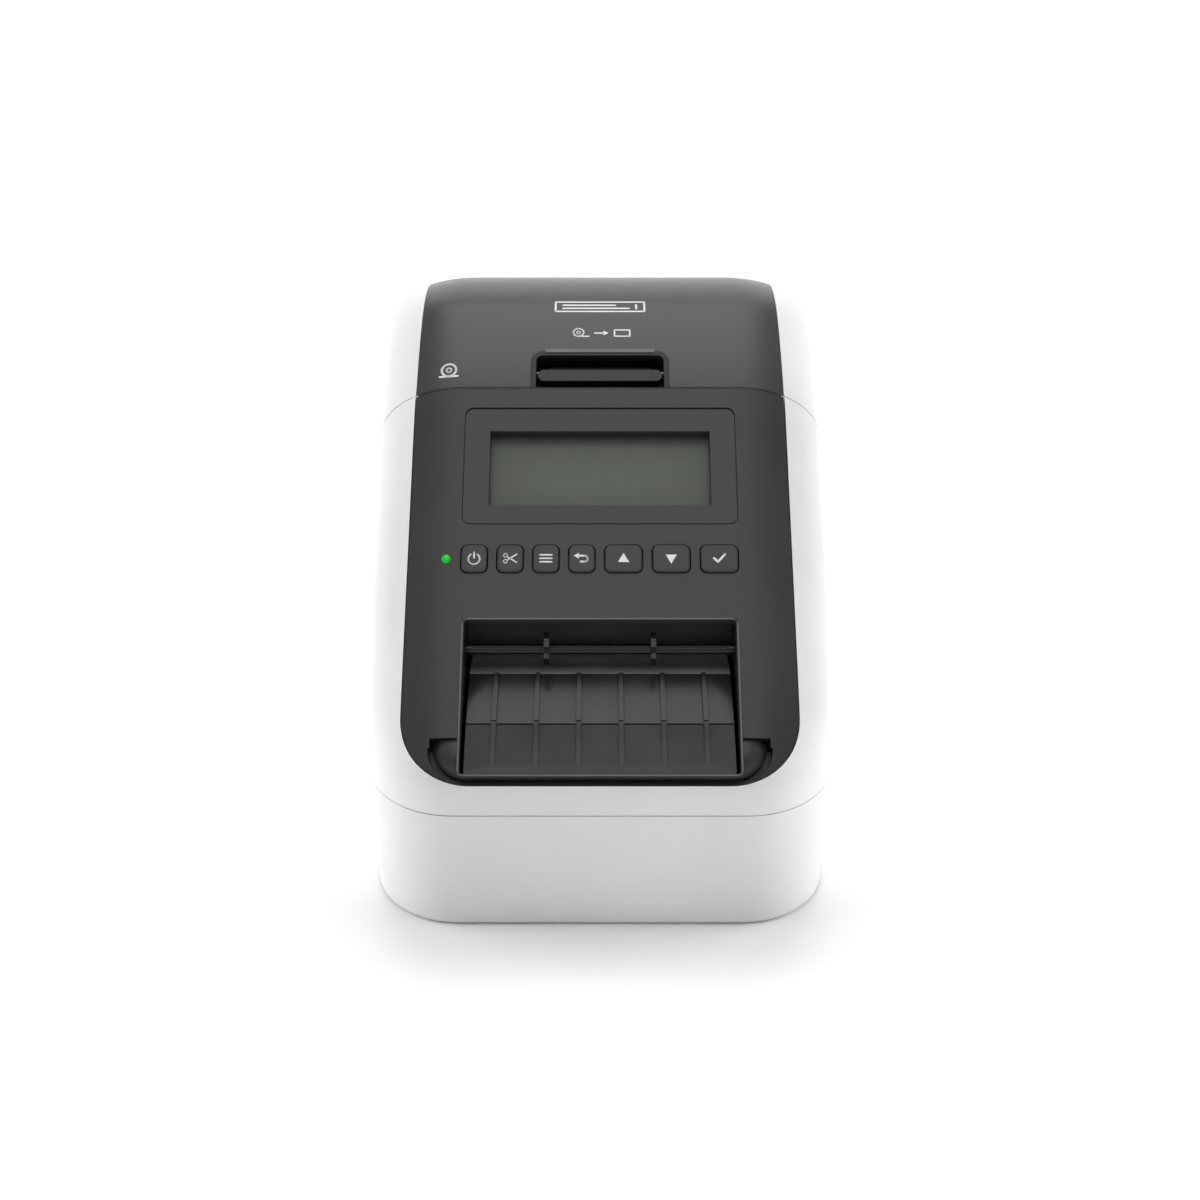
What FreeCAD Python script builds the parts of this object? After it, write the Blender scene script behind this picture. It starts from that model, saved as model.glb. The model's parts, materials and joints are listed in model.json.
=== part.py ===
"""Desktop label printer: white two-part case, dark sloping control panel with a label outlet,
and a smoke-tinted cover hinged at the rear over the roll compartment.

Millimetres. X right, Y back, Z up. Origin on the table under the middle of the case.
"""
import FreeCAD
import Part
import math
import os

from FreeCAD import Placement, Rotation, Vector

# Case, overall
width = 125.3
depth = 234.0
foot_height = 0.8
wall = 2.5
floor = 2.5
seam_gap = 0.3
cover_gap = 0.3

# Side profile of the case
slope_angle = 45.0
nose_height = 44.8
nose_radius = 12.0
slope_length = 98.7
crown_radius = 150.0
crown_angle = 29.0
peak_radius = 42.0
rear_angle = 14.0
rear_radius = 50.0

# Cross-section of the case
top_half = 38.0
shoulder_depth = 11.0
plan_radius = 26.0
nose_rim_radius = 20.0
rear_rim_radius = 30.0
profile_step = 4.0

# Seams
case_seam = 35.0
cover_front = -35.9
cover_seam = 78.0

# Front panel
panel_half = 52.0
panel_wall = 3.0
panel_corner = 18.0
panel_lip = 2.6
outlet_half = 36.3
outlet_top = 44.3
bead_wide = 0.7
bead_proud = 0.25
bead_corner = 1.4
scoop_radius = 8.0
scoop_x = 37.4
scoop_s = 8.5
scoop_top = 12.2
groove_top = 1.7
groove_half = 44.7
groove_corner = 9.4
groove_deep = 5.0
groove_high = 9.8

# Display
bezel_half = 37.8
bezel_low = 71.8
bezel_high = 107.3
bezel_depth = 0.8
bezel_corner = 2.5
bezel_gap = 0.3
bezel_top_gap = 0.7
bezel_sunk = 0.1
lcd_half = 30.6
lcd_low = 77.5
lcd_high = 99.9
lens_depth = 2.0
lens_thick = 1.0
module_thick = 5.2
board_depth = 9.0
board_thick = 1.6
board_half = 42.0
board_low = 54.0
board_high = 104.0

# Buttons: centre and width across, by name
buttons = {
    "power": (-34.0, 7.0),
    "cut": (-24.3, 7.0),
    "menu": (-14.6, 7.0),
    "back": (-4.9, 7.0),
    "up": (6.35, 10.1),
    "down": (19.25, 10.1),
    "confirm": (32.25, 10.1),
}
button_s = 61.7
button_tall = 7.8
button_corner = 1.7
button_round = 0.4
button_proud = 0.5
button_travel = 0.8
button_gap = 0.3
flange_extra = 0.8
flange_thick = 1.1
mat_thick = 1.0
lamp_x = -41.6
lamp_radius = 1.2
lamp_dome = 0.4

# Outlet
chute_fold_y = -102.4
chute_fold_z = 54.0
chute_top_y = -87.0
chute_top_z = 60.3
chute_thick = 2.0
chute_side_gap = 1.1
fold_gap = 0.4
fold_deep = 0.9
rib_count = 6
rib_pitch = 11.15
rib_wide = 1.2
rib_proud = 0.9
rib_groove = 0.3
bar_y = -85.0
bar_z = 67.0
bar_radius = 1.5
bar_groove = 0.5
ring_radius = 4.6
ring_wide = 1.4
ring_x = 14.3
cheek = 2.0
cavity_back = -71.5

# Print mechanism
path_z = 61.0
plate_in = 38.5
plate_thick = 1.5
chassis_front = -80.0
chassis_back = -34.0
chassis_low = 37.5
chassis_high = 74.0
platen_y = -50.0
platen_radius = 6.0
platen_half = 32.0
shaft_radius = 2.5
bush_radius = 4.0
running = 0.05
gear_module = 1.0
pressure_angle = 20.0
backlash = 0.25
gear_wide = 4.0
gear_in = 42.0
platen_teeth = 24
idler_teeth = 20
pinion_teeth = 14
idler_direction = -20.0
pinion_direction = -40.0
idler_axle_radius = 1.5
feed_motor_radius = 12.0
feed_motor_long = 26.0
head_pivot_y = -38.0
head_pivot_z = 69.0
head_shaft_radius = 1.5
head_front = -55.0
head_half = 33.0
head_gap = 0.2
head_thick = 2.0
bracket_thick = 2.2
bar_thick = 1.5
spring_thick = 0.4
spring_wide = 5.0
spring_x = 18.0

# Cutter
blade_y = -65.5
blade_thick = 1.0
blade_half = 34.0
blade_tall = 10.0
blade_travel = 5.0
blade_gap = 0.2
rack_x0 = 31.0
rack_wide = 5.0
cutter_module = 0.8
cutter_teeth = 14
cutter_z = 48.0
cutter_motor_radius = 7.0
cutter_motor_long = 24.0

# Label roll
roll_y = 45.0
roll_z = 72.0
roll_radius = 38.5
roll_half = 31.0
core_radius = 13.5
core_bore = 12.0
hub_gap = 0.3
arm_radius = 21.0
arm_thick = 1.6
arm_gap = 0.5
arm_tab = 8.0
arm_reach = 38.3

# Roll tub
tub_half = 40.0
tub_wall = 2.0
tub_radius = 43.0
deck_thick = 2.0
bulkhead_y = -33.5
bulkhead_top = 115.0

# Cover
window_thick = 2.2
window_back = 74.0
ledge = 1.6
notch_half = 19.7
notch_top = 126.5
notch_corner = 3.5
tray_depth = 11.0
tray_wall = 1.5
lever_half = 17.7
lever_s = 117.4
lever_tall = 3.5
lever_top = 3.4
lever_thick = 4.0
lever_pin_radius = 0.8
lever_pin_s = 121.9
lever_pin_depth = 7.6
hinge_inset = 3.0
barrel_radius = 3.0
barrel_half = 47.0
hinge_relief = 4.0
hinge_relief_half = 50.0
hinge_pin_radius = 1.25
lug_x = 24.0
lug_wide = 6.0
lug_gap = 0.3
pin_reach = 4.0
lug_back = 0.4

# Base
foot_radius = 6.0
foot_x = 50.0
foot_y = 98.0
post_radius = 3.5
screw_radius = 1.5
screw_head = 3.0
screw_sink = 4.0
boss_top = 30.0
board_z = 9.0
main_half = 44.0
main_front = -60.0
main_rear = 102.0
board_posts = [(-38.0, -54.0), (38.0, -54.0), (-38.0, 40.0), (38.0, 96.0)]

# Sockets in the rear wall
port_z = 10.4
inlet_x = -40.0
inlet_wide = 12.0
inlet_tall = 12.0
inlet_bore = 3.25
usb_x = -8.0
usb_wide = 12.4
usb_tall = 11.4
lan_x = 16.0
lan_wide = 16.4
lan_tall = 13.8

half = width / 2
front = -depth / 2
rear = depth / 2
angle = math.radians(slope_angle)
hinge_y = rear - hinge_inset
hinge_z = cover_seam
platen_z = path_z - platen_radius
big = 400.0


def box(x0, x1, y0, y1, z0, z1):
    """Box between two corners."""
    return Part.makeBox(x1 - x0, y1 - y0, z1 - z0, Vector(x0, y0, z0))


def rounded(x0, x1, y0, y1, z0, z1, radius):
    """Box whose four edges along Z are rounded."""
    block = box(x0, x1, y0, y1, z0, z1)
    upright = [e for e in block.Edges if abs(e.Vertexes[0].Z - e.Vertexes[1].Z) > 1e-6]
    return block.makeFillet(radius, upright)


def rod(x0, x1, y, z, radius):
    """Cylinder along X."""
    return Part.makeCylinder(radius, x1 - x0, Vector(x0, y, z), Vector(1, 0, 0))


def both_sides(shape):
    """The shape with its mirror image across the middle plane."""
    return shape.fuse(shape.mirror(Vector(0, 0, 0), Vector(1, 0, 0)))


def pair(shape):
    """The shape and its mirror image as two separate solids."""
    return Part.makeCompound([shape, shape.mirror(Vector(0, 0, 0), Vector(1, 0, 0))])


def on_slope(shape):
    """Moves a shape from (across, up the slope, outward) to the front slope."""
    moved = shape.copy()
    moved.Placement = Placement(
        Vector(0, front, nose_height), Rotation(Vector(1, 0, 0), slope_angle)
    ).multiply(shape.Placement)
    return moved


def slope_point(along, deep):
    """Y and Z of a point on the front slope, a depth under its surface."""
    return (
        front + along * math.cos(angle) + deep * math.sin(angle),
        nose_height + along * math.sin(angle) - deep * math.cos(angle),
    )


def strip(x0, x1, points):
    """Prism along X over a closed outline of (y, z) points."""
    corners = [Vector(x0, y, z) for y, z in points]
    wire = Part.makePolygon(corners + corners[:1])
    return Part.Face(wire).extrude(Vector(x1 - x0, 0, 0))


# Side profile: a chain of straight runs and arcs, each given as a length and a function
def run(start, heading, length):
    """Straight run from a point, heading in radians from +Y towards +Z."""
    def at(t):
        return start[0] + t * math.cos(heading), start[1] + t * math.sin(heading)
    return length, at


def bend(start, heading, turn, radius):
    """Arc that turns downwards (clockwise seen from -X) from a point."""
    cy = start[0] + radius * math.sin(heading)
    cz = start[1] - radius * math.cos(heading)

    def at(t):
        now = heading - t / radius
        return cy - radius * math.sin(now), cz + radius * math.cos(now)
    return radius * turn, at


def end_of(piece):
    return piece[1](piece[0])


def chain_point(chain, distance):
    """Point at a distance along a chain."""
    for length, at in chain:
        if distance <= length:
            return at(distance)
        distance -= length
    return end_of(chain[-1])


def crown_chain(inset):
    """Top of the case from the end of the straight slope to the start of the rear corner."""
    crown = math.radians(crown_angle)
    back = math.radians(rear_angle)
    first = slope_point(slope_length, inset)
    crown_arc = bend(first, angle, angle - crown, crown_radius - inset)
    peak_arc = bend(end_of(crown_arc), crown, crown + back, peak_radius - inset)
    return [crown_arc, peak_arc]


def corner_run(start, heading, y_stop, radius):
    """Straight run from a point that leaves room for a corner arc down to y_stop."""
    turn = heading + math.pi / 2
    tangent = radius * math.tan(turn / 2)
    length = (y_stop - start[0]) / math.cos(heading) - tangent
    straight = run(start, heading, length)
    return [straight, bend(end_of(straight), heading, turn, radius)]


def outline(inset, deeper, front_y, rear_y, low_radius, high_radius, bottom):
    """Chain over the case from the bottom of the front to the bottom of the rear."""
    tangent = low_radius * math.tan((math.pi / 2 - angle) / 2)
    start_s = (front_y - front - deeper * math.sin(angle)) / math.cos(angle)
    corner = slope_point(start_s, deeper)
    wall_top = corner[1] - tangent
    rise = run((front_y, bottom), math.pi / 2, wall_top - bottom)
    nose = bend(end_of(rise), math.pi / 2, math.pi / 2 - angle, low_radius)
    slope = run(end_of(nose), angle, slope_length - start_s - tangent)
    crown = crown_chain(deeper)
    back = corner_run(end_of(crown[-1]), -math.radians(rear_angle), rear_y, high_radius)
    drop = run(end_of(back[-1]), -math.pi / 2, end_of(back[-1])[1] - bottom)
    return [rise, nose, slope] + crown + back + [drop]


def matched_points(top, rim):
    """Pairs of points along the top outline and the rim, region by region."""
    regions = [(0, 3), (3, 4), (4, 5), (5, 6), (6, 8)]
    pairs = []
    for first, last in regions:
        top_start = sum(p[0] for p in top[:first])
        rim_start = sum(p[0] for p in rim[:first])
        top_long = sum(p[0] for p in top[first:last])
        rim_long = sum(p[0] for p in rim[first:last])
        count = max(2, int(math.ceil(top_long / profile_step)))
        for i in range(count):
            share = i / count
            pairs.append((
                chain_point(top, top_start + share * top_long),
                chain_point(rim, rim_start + share * rim_long),
            ))
    pairs.append((end_of(top[-1]), end_of(rim[-1])))
    return pairs


def case_body(inset, bottom):
    """Solid case outline, taken in by an inset, standing on a bottom height."""
    top = outline(inset, inset, front + inset, rear - inset,
                  nose_radius - inset, rear_radius - inset, bottom)
    rim = outline(0, shoulder_depth, front + plan_radius, rear - plan_radius,
                  nose_rim_radius, rear_rim_radius, bottom)
    pairs = matched_points(top, rim)
    ticks = [0.0]
    for (a, _), (b, _) in zip(pairs, pairs[1:]):
        ticks.append(ticks[-1] + math.hypot(b[0] - a[0], b[1] - a[1]))
    side = half - inset

    def spline(points, x):
        curve = Part.BSplineCurve()
        curve.interpolate(Points=[Vector(x, y, z) for y, z in points], Parameters=ticks)
        return curve

    top_curve = spline([p for p, _ in pairs], top_half)
    rim_curve = spline([q for _, q in pairs], side)
    top_poles = top_curve.getPoles()
    rim_poles = rim_curve.getPoles()
    knots = top_curve.getKnots()
    mults = top_curve.getMultiplicities()

    strip_face = Part.BSplineSurface()
    strip_face.buildFromPolesMultsKnots(
        [[Vector(-top_half, p.y, p.z), p] for p in top_poles],
        mults, [2, 2], knots, [0.0, 1.0], False, False, 3, 1)
    shoulder = Part.BSplineSurface()
    shoulder.buildFromPolesMultsKnots(
        [[p, Vector(side, p.y, p.z), q] for p, q in zip(top_poles, rim_poles)],
        mults, [3, 3], knots, [0.0, 1.0], False, False, 3, 2,
        [[1.0, math.sqrt(0.5), 1.0]] * len(top_poles))

    low_front, low_rear = pairs[0], pairs[-1]
    rim_edge = rim_curve.toShape()
    base_line = Part.makeLine(
        Vector(side, low_rear[1][0], bottom), Vector(side, low_front[1][0], bottom))
    flank = Part.Face(Part.Wire([rim_edge, base_line]))
    right = [shoulder.toShape(), flank]
    left = [f.mirror(Vector(0, 0, 0), Vector(1, 0, 0)) for f in right]

    def corner_arc(point, inner, sign):
        arc = Part.BSplineCurve()
        arc.buildFromPolesMultsKnots(
            [Vector(sign * top_half, point, bottom), Vector(sign * side, point, bottom),
             Vector(sign * side, inner, bottom)],
            [3, 3], [0.0, 1.0], False, 2, [1.0, math.sqrt(0.5), 1.0])
        return arc.toShape()

    base_edges = [
        Part.makeLine(Vector(-top_half, low_front[0][0], bottom), Vector(top_half, low_front[0][0], bottom)),
        Part.makeLine(Vector(-top_half, low_rear[0][0], bottom), Vector(top_half, low_rear[0][0], bottom)),
        base_line,
        Part.makeLine(Vector(-side, low_rear[1][0], bottom), Vector(-side, low_front[1][0], bottom)),
    ]
    for sign in (-1, 1):
        base_edges.append(corner_arc(low_front[0][0], low_front[1][0], sign))
        base_edges.append(corner_arc(low_rear[0][0], low_rear[1][0], sign))
    base = Part.Face(Part.Wire(Part.__sortEdges__(base_edges)))

    skin = Part.makeCompound([strip_face.toShape(), base] + right + left)
    skin.sewShape(0.001)
    solid = Part.Solid(skin.Shells[0])
    if solid.Volume < 0:
        solid.reverse()
    return solid


# Case shells
def hollow_case():
    """The whole case as one hollow shell."""
    return case_body(0, foot_height).cut(case_body(wall, foot_height + floor))


def layer(outer_inset, inner_inset):
    """Skin of the case between two insets."""
    return case_body(outer_inset, foot_height).cut(case_body(inner_inset, foot_height))


def cover_zone(gap):
    """Space of the roll cover, drawn in by a gap."""
    return box(-big, big, cover_front + gap, big, cover_seam + gap, big)


def hinge_rod(radius, x0, x1):
    return rod(x0, x1, hinge_y, hinge_z, radius)


def panel_prism(gap):
    """Rounded tongue over the front slope; a positive gap makes it wider."""
    side = panel_half + gap
    block = rounded(-side, side, -gap, 3 * slope_length, -40, 40, panel_corner + gap)
    return on_slope(block).common(box(-big, big, -big, cover_front - cover_gap, -big, big))


def post_places():
    return [(x, y) for x in (-34.0, 34.0) for y in (chassis_front + 8, chassis_back - 8)]


def tub_post_places():
    return [(x, y) for x in (-36.0, 36.0) for y in (roll_y - 38, roll_y + 38)]


def screw_places():
    return [(x, y) for x in (-50.0, 50.0) for y in (-78.0, 78.0)]


def port_cuts():
    """Openings in the rear wall for the power inlet, USB and network sockets."""
    y0, y1 = rear - 3 * wall, rear + wall
    return [box(x - w / 2, x + w / 2, y0, y1, z, z + h) for x, z, w, h in (
        (inlet_x, port_z, inlet_wide, inlet_tall),
        (usb_x, port_z, usb_wide, usb_tall),
        (lan_x, port_z, lan_wide, lan_tall))]


def lower_housing(shell):
    shape = shell.common(box(-big, big, -big, big, -big, case_seam - seam_gap / 2))
    top = foot_height + floor
    for x, y in post_places():
        shape = shape.fuse(Part.makeCylinder(post_radius, chassis_low - top, Vector(x, y, top)))
    for x, y in screw_places():
        boss = Part.makeCylinder(post_radius + 1, boss_top - top, Vector(x, y, top))
        shape = shape.fuse(boss)
        shape = shape.cut(Part.makeCylinder(screw_radius, big, Vector(x, y, 0)))
        shape = shape.cut(Part.makeCylinder(screw_head, screw_sink, Vector(x, y, foot_height)))
    for x, y in board_posts:
        shape = shape.fuse(Part.makeCylinder(post_radius, board_z - top, Vector(x, y, top)))
    for cut in port_cuts():
        shape = shape.cut(cut)
    return shape


def upper_housing(shell):
    shape = shell.common(box(-big, big, -big, big, case_seam + seam_gap / 2, big))
    shape = shape.cut(cover_zone(-seam_gap / 2))
    shape = shape.cut(panel_prism(seam_gap))
    shape = shape.cut(hinge_rod(hinge_relief, -hinge_relief_half, hinge_relief_half))
    for x in (-lug_x - lug_wide / 2, lug_x + lug_wide / 2):
        x0, x1 = x - lug_wide / 2, x + lug_wide / 2
        lug = hinge_rod(barrel_radius - 0.2, x0, x1)
        lug = lug.fuse(box(x0, x1, hinge_y - 2.6, hinge_y + lug_back, hinge_z - 8, hinge_z))
        lug = lug.fuse(box(x0, x1, hinge_y - 2.6, rear - 0.2, hinge_z - 8,
                           hinge_z - hinge_relief - 0.2))
        shape = shape.fuse(lug)
        shape = shape.cut(hinge_rod(hinge_pin_radius, x0 - 1, x1 + 1))
    for x, y in screw_places():
        z0 = boss_top + 0.1
        column = Part.makeCylinder(post_radius + 1, case_seam + 8 - z0, Vector(x, y, z0))
        arm = box(min(x, math.copysign(half - 1, x)), max(x, math.copysign(half - 1, x)),
                  y - 1, y + 1, case_seam + 1, case_seam + 8)
        column = column.cut(Part.makeCylinder(screw_radius, 12, Vector(x, y, z0 - 1)))
        arm = arm.cut(Part.makeCylinder(screw_radius + 1, big, Vector(x, y, 0)))
        shape = shape.fuse(column.fuse(arm))
    return shape.common(case_body(0, foot_height))


def lip_groove():
    """Deep groove under the outlet's lower lip, its ends curling up beside the finger scoops."""
    outer = rounded(-groove_half, groove_half, -0.1, big, -groove_deep, big, groove_corner)
    inner = rounded(-groove_half + 1.05, groove_half - 1.05, groove_top, big,
                    -big, 2 * big, groove_corner - 0.25)
    return outer.cut(inner).common(box(-big, big, -1, groove_high, -big, big))


def scoops():
    """Both lower corners beside the outlet roll off like a dome, for a fingertip."""
    room = box(outlet_half + bead_wide, big, -1, scoop_top, -groove_deep, big)
    dome = Part.makeSphere(scoop_radius, Vector(scoop_x, scoop_s, -scoop_radius))
    inside = rounded(-groove_half + 0.5, groove_half - 0.5, groove_top - 0.4, big,
                     -big, 2 * big, groove_corner - 0.2)
    return both_sides(room.cut(dome).common(inside))


def front_panel():
    shape = layer(0, panel_wall).common(panel_prism(0))
    # Backing behind the two finger scoops and the groove
    pad = on_slope(box(outlet_half + cheek + 0.2, panel_half - 1, 1, scoop_top + 1,
                       -panel_wall - 3.0, -panel_wall + 0.5))
    floor_strip = on_slope(box(-panel_half, panel_half, 0.7, groove_top + 0.4,
                               -panel_wall - 3.0, -panel_wall + 0.5))
    backing = both_sides(pad).fuse(floor_strip)
    shape = shape.fuse(backing.common(panel_prism(-0.6)).common(case_body(0, foot_height)))
    # Raised bead round the label outlet
    bead = rounded(-outlet_half - bead_wide, outlet_half + bead_wide, panel_lip - bead_wide,
                   outlet_top + bead_wide, -1.0, bead_proud, bead_corner)
    rim = [e for e in bead.Edges if e.BoundBox.ZMin > bead_proud - 1e-6]
    shape = shape.cut(on_slope(lip_groove())).cut(on_slope(scoops()))
    shape = shape.fuse(on_slope(bead.makeFillet(0.2, rim)))
    shape = shape.cut(on_slope(rounded(
        -outlet_half, outlet_half, panel_lip, outlet_top, -30, 30, 1.0)))
    # Display bezel and window
    shape = shape.cut(on_slope(rounded(
        -bezel_half, bezel_half, bezel_low, bezel_high, -bezel_depth, 30, bezel_corner)))
    shape = shape.cut(on_slope(box(-lcd_half, lcd_half, lcd_low, lcd_high, -30, 30)))
    for x, wide in buttons.values():
        shape = shape.cut(on_slope(button_block(x, wide, button_gap, -30, 30)))
    lamp_hole = Part.makeCylinder(lamp_radius, 60, Vector(lamp_x, button_s, -30))
    return shape.cut(on_slope(lamp_hole))


def display_bezel():
    """Frame plate laid in the recess round the display window."""
    side = bezel_half - bezel_gap
    plate = rounded(-side, side, bezel_low + bezel_gap, bezel_high - bezel_top_gap,
                    -bezel_depth, -bezel_sunk, bezel_corner - bezel_gap)
    return on_slope(plate.cut(box(-lcd_half, lcd_half, lcd_low, lcd_high, -30, 30)))


# Display and buttons
def button_block(x, wide, grow, low, high):
    w, h = wide / 2 + grow, button_tall / 2 + grow
    return rounded(x - w, x + w, button_s - h, button_s + h, low, high, button_corner + grow)


def button(x, wide):
    """Key cap with a flange that keeps it behind the panel."""
    flange_top = -panel_wall - 0.2
    cap = button_block(x, wide, 0, flange_top - flange_thick, button_proud)
    rim = [e for e in cap.Edges if e.BoundBox.ZMin > button_proud - 1e-6]
    cap = cap.makeFillet(button_round, rim)
    flange = button_block(x, wide, flange_extra, flange_top - flange_thick, flange_top)
    return on_slope(cap.fuse(flange))


def mat_top():
    """Height of the key mat under the pressed buttons, outward from the slope."""
    return -panel_wall - 0.2 - flange_thick - button_travel - 0.4


def key_mat():
    """Rubber mat with a dome under every key."""
    top = mat_top()
    left, right = -40.0, 40.0
    low, high = button_s - button_tall / 2 - 1.5, button_s + button_tall / 2 + 1.5
    shape = box(left, right, low, high, top - mat_thick, top)
    for x, wide in buttons.values():
        shape = shape.fuse(Part.makeCone(2.6, 1.8, 0.5, Vector(x, button_s, top - 0.1)))
    return on_slope(shape)


def panel_board():
    """Circuit board behind the display and keys, with a switch under each key."""
    top = -board_depth
    shape = box(-board_half, board_half, board_low, board_high, top - board_thick, top)
    switch_top = mat_top() - mat_thick - 0.05
    for x, wide in buttons.values():
        shape = shape.fuse(box(x - 2, x + 2, button_s - 2, button_s + 2, top - 0.1, switch_top))
    return on_slope(shape)


def status_lamp():
    """Clear lamp with a slightly domed top, standing on the panel board."""
    ball_radius = (lamp_radius ** 2 + lamp_dome ** 2) / (2 * lamp_dome)
    top = Part.makeCylinder(lamp_radius, lamp_dome + 1, Vector(0, 0, -1))
    top = top.common(Part.makeSphere(ball_radius, Vector(0, 0, lamp_dome - ball_radius)))
    stem = Part.makeCylinder(lamp_radius, board_depth - 0.9, Vector(0, 0, -board_depth))
    shape = stem.fuse(top)
    shape.translate(Vector(lamp_x, button_s, 0))
    return on_slope(shape)


def display_lens():
    gap = 0.05
    return on_slope(box(-lcd_half + gap, lcd_half - gap, lcd_low + gap, lcd_high - gap,
                        -lens_depth - lens_thick, -lens_depth))


def display_module():
    """Display glass in its frame, between the lens and the board."""
    top = -panel_wall - 0.05
    frame = box(-lcd_half - 2.5, lcd_half + 2.5, lcd_low - 2, lcd_high + 2, -board_depth, top)
    glass = box(-lcd_half - 1, lcd_half + 1, lcd_low - 0.8, lcd_high + 0.8, top - 0.4, big)
    return on_slope(frame.cut(glass))


# Label outlet
def chute_line():
    low_y, low_z = slope_point(panel_lip, 0.6)
    return [(low_y, low_z), (chute_fold_y, chute_fold_z), (chute_top_y, chute_top_z)]


def chute_ribs(line, wide, low, high):
    """Narrow strips along the ramp, between two heights over it."""
    over = [(y - 0.4 * high, z + high) for y, z in line]
    over[0] = (line[0][0] + 1.2, line[0][1] + 0.6 * high)
    under = [(y, z + low) for y, z in line]
    ribs = []
    for i in range(rib_count):
        x = (i - (rib_count - 1) / 2) * rib_pitch
        ribs.append(strip(x - wide / 2, x + wide / 2, over + under[::-1]))
    return ribs


def outlet_chute():
    """Ramp in two straight stretches with a level shelf behind and raised guide ribs."""
    line = chute_line()
    shelf_end = cavity_back - 1.7
    top = line + [(shelf_end, chute_top_z)]
    under = [(y + chute_thick * 0.5, z - chute_thick) for y, z in line]
    under.append((shelf_end, chute_top_z - chute_thick))
    side = outlet_half - chute_side_gap
    shape = strip(-side, side, top + under[::-1])
    # Fine grooves at the fold and along both sides of every rib
    for cut in chute_ribs(line, rib_wide + 2 * rib_groove, -rib_groove, 1.0):
        shape = shape.cut(cut)
    for rib in chute_ribs(line, rib_wide, -0.6, rib_proud):
        shape = shape.fuse(rib)
    shape = shape.cut(box(-side - 1, side + 1, chute_fold_y - fold_gap / 2,
                          chute_fold_y + fold_gap / 2, chute_fold_z - fold_deep, big))
    shape = shape.common(on_slope(rounded(
        -side, side, panel_lip + 0.05, outlet_top + 12, -60, 30, 0.9)))
    return shape.common(case_body(0.6, foot_height))


def outlet_box():
    """Dark cheeks, roof and back of the outlet, open to the front and slotted for the label."""
    outer_half = outlet_half + cheek
    roof_y, roof_z = slope_point(outlet_top, panel_wall)
    back_y = cavity_back
    low = path_z - 3.6
    body = strip(-outer_half, outer_half, [
        slope_point(panel_lip, panel_wall - 1), slope_point(outlet_top + 1.5, panel_wall - 1),
        (back_y, roof_z + 1.0), (back_y, low), slope_point(panel_lip, panel_wall + 4)])
    room = strip(-outlet_half, outlet_half, [
        slope_point(-30, -1), slope_point(outlet_top, -1), slope_point(outlet_top, panel_wall),
        (back_y - 1.6, roof_z - 0.6), (back_y - 1.6, 0), (front - 40, 0)])
    slot = box(-roll_half - 1.5, roll_half + 1.5, back_y - 5, back_y + 5,
               path_z - 1.0, path_z + 1.4)
    return body.cut(room).cut(slot).common(case_body(panel_wall + 0.05, foot_height))


def exit_guide_bar():
    """Round bar across the outlet with a fine groove along its front."""
    bar = rod(-outlet_half, outlet_half, bar_y, bar_z, bar_radius)
    return bar.cut(rod(-outlet_half + cheek, outlet_half - cheek,
                       bar_y - 0.88 * bar_radius, bar_z + 0.47 * bar_radius, bar_groove))


def guide_rings():
    """Two thin rings pressed on the guide bar."""
    rings = []
    for x in (-ring_x, ring_x):
        x0, x1 = x - ring_wide / 2, x + ring_wide / 2
        disc = rod(x0, x1, bar_y, bar_z, ring_radius)
        rings.append(disc.cut(rod(x0 - 1, x1 + 1, bar_y, bar_z, bar_radius)))
    return Part.makeCompound(rings)


# Gears
def involute(a):
    return math.tan(a) - a


def gear(teeth, module, x0, x1, cy, cz, bore, phase):
    """Involute spur gear on an axis along X; phase is the angle of one tooth from +Y."""
    pitch = teeth * module / 2
    press = math.radians(pressure_angle)
    base = pitch * math.cos(press)
    tip = pitch + 0.9 * module
    root = pitch - 1.2 * module
    half_tooth = math.pi / (2 * teeth) - backlash / (2 * pitch)

    def flank(radius):
        over = max(radius, base)
        return half_tooth + involute(press) - involute(math.acos(base / over))

    heights = [root] + [max(root, base) + i * (tip - max(root, base)) / 4 for i in range(5)]
    points = []
    for k in range(teeth):
        middle = phase + 2 * math.pi * k / teeth
        side = [(r, flank(r)) for r in heights]
        for r, spread in side:
            points.append((r, middle - spread))
        for r, spread in side[::-1]:
            points.append((r, middle + spread))
    outline_points = []
    for r, a in points:
        spot = Vector(x0, cy + r * math.cos(a), cz + r * math.sin(a))
        if not outline_points or (spot - outline_points[-1]).Length > 1e-4:
            outline_points.append(spot)
    blank = Part.Face(Part.makePolygon(outline_points + outline_points[:1]))
    shape = blank.extrude(Vector(x1 - x0, 0, 0))
    return shape.cut(rod(x0 - 1, x1 + 1, cy, cz, bore)) if bore else shape


def next_gear(centre, teeth_a, phase_a, teeth_b, direction, module):
    """Centre and phase of a gear that meshes with another in a direction (degrees from +Y)."""
    theta = math.radians(direction)
    ra, rb = teeth_a * module / 2, teeth_b * module / 2
    spot = (centre[0] + (ra + rb) * math.cos(theta), centre[1] + (ra + rb) * math.sin(theta))
    lead = (phase_a - theta) * ra + math.pi * module / 2
    return spot, theta + math.pi - lead / rb


idler_spot, idler_phase = next_gear(
    (platen_y, platen_z), platen_teeth, 0.0, idler_teeth, idler_direction, gear_module)
pinion_spot, pinion_phase = next_gear(
    idler_spot, idler_teeth, idler_phase, pinion_teeth, pinion_direction, gear_module)


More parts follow.
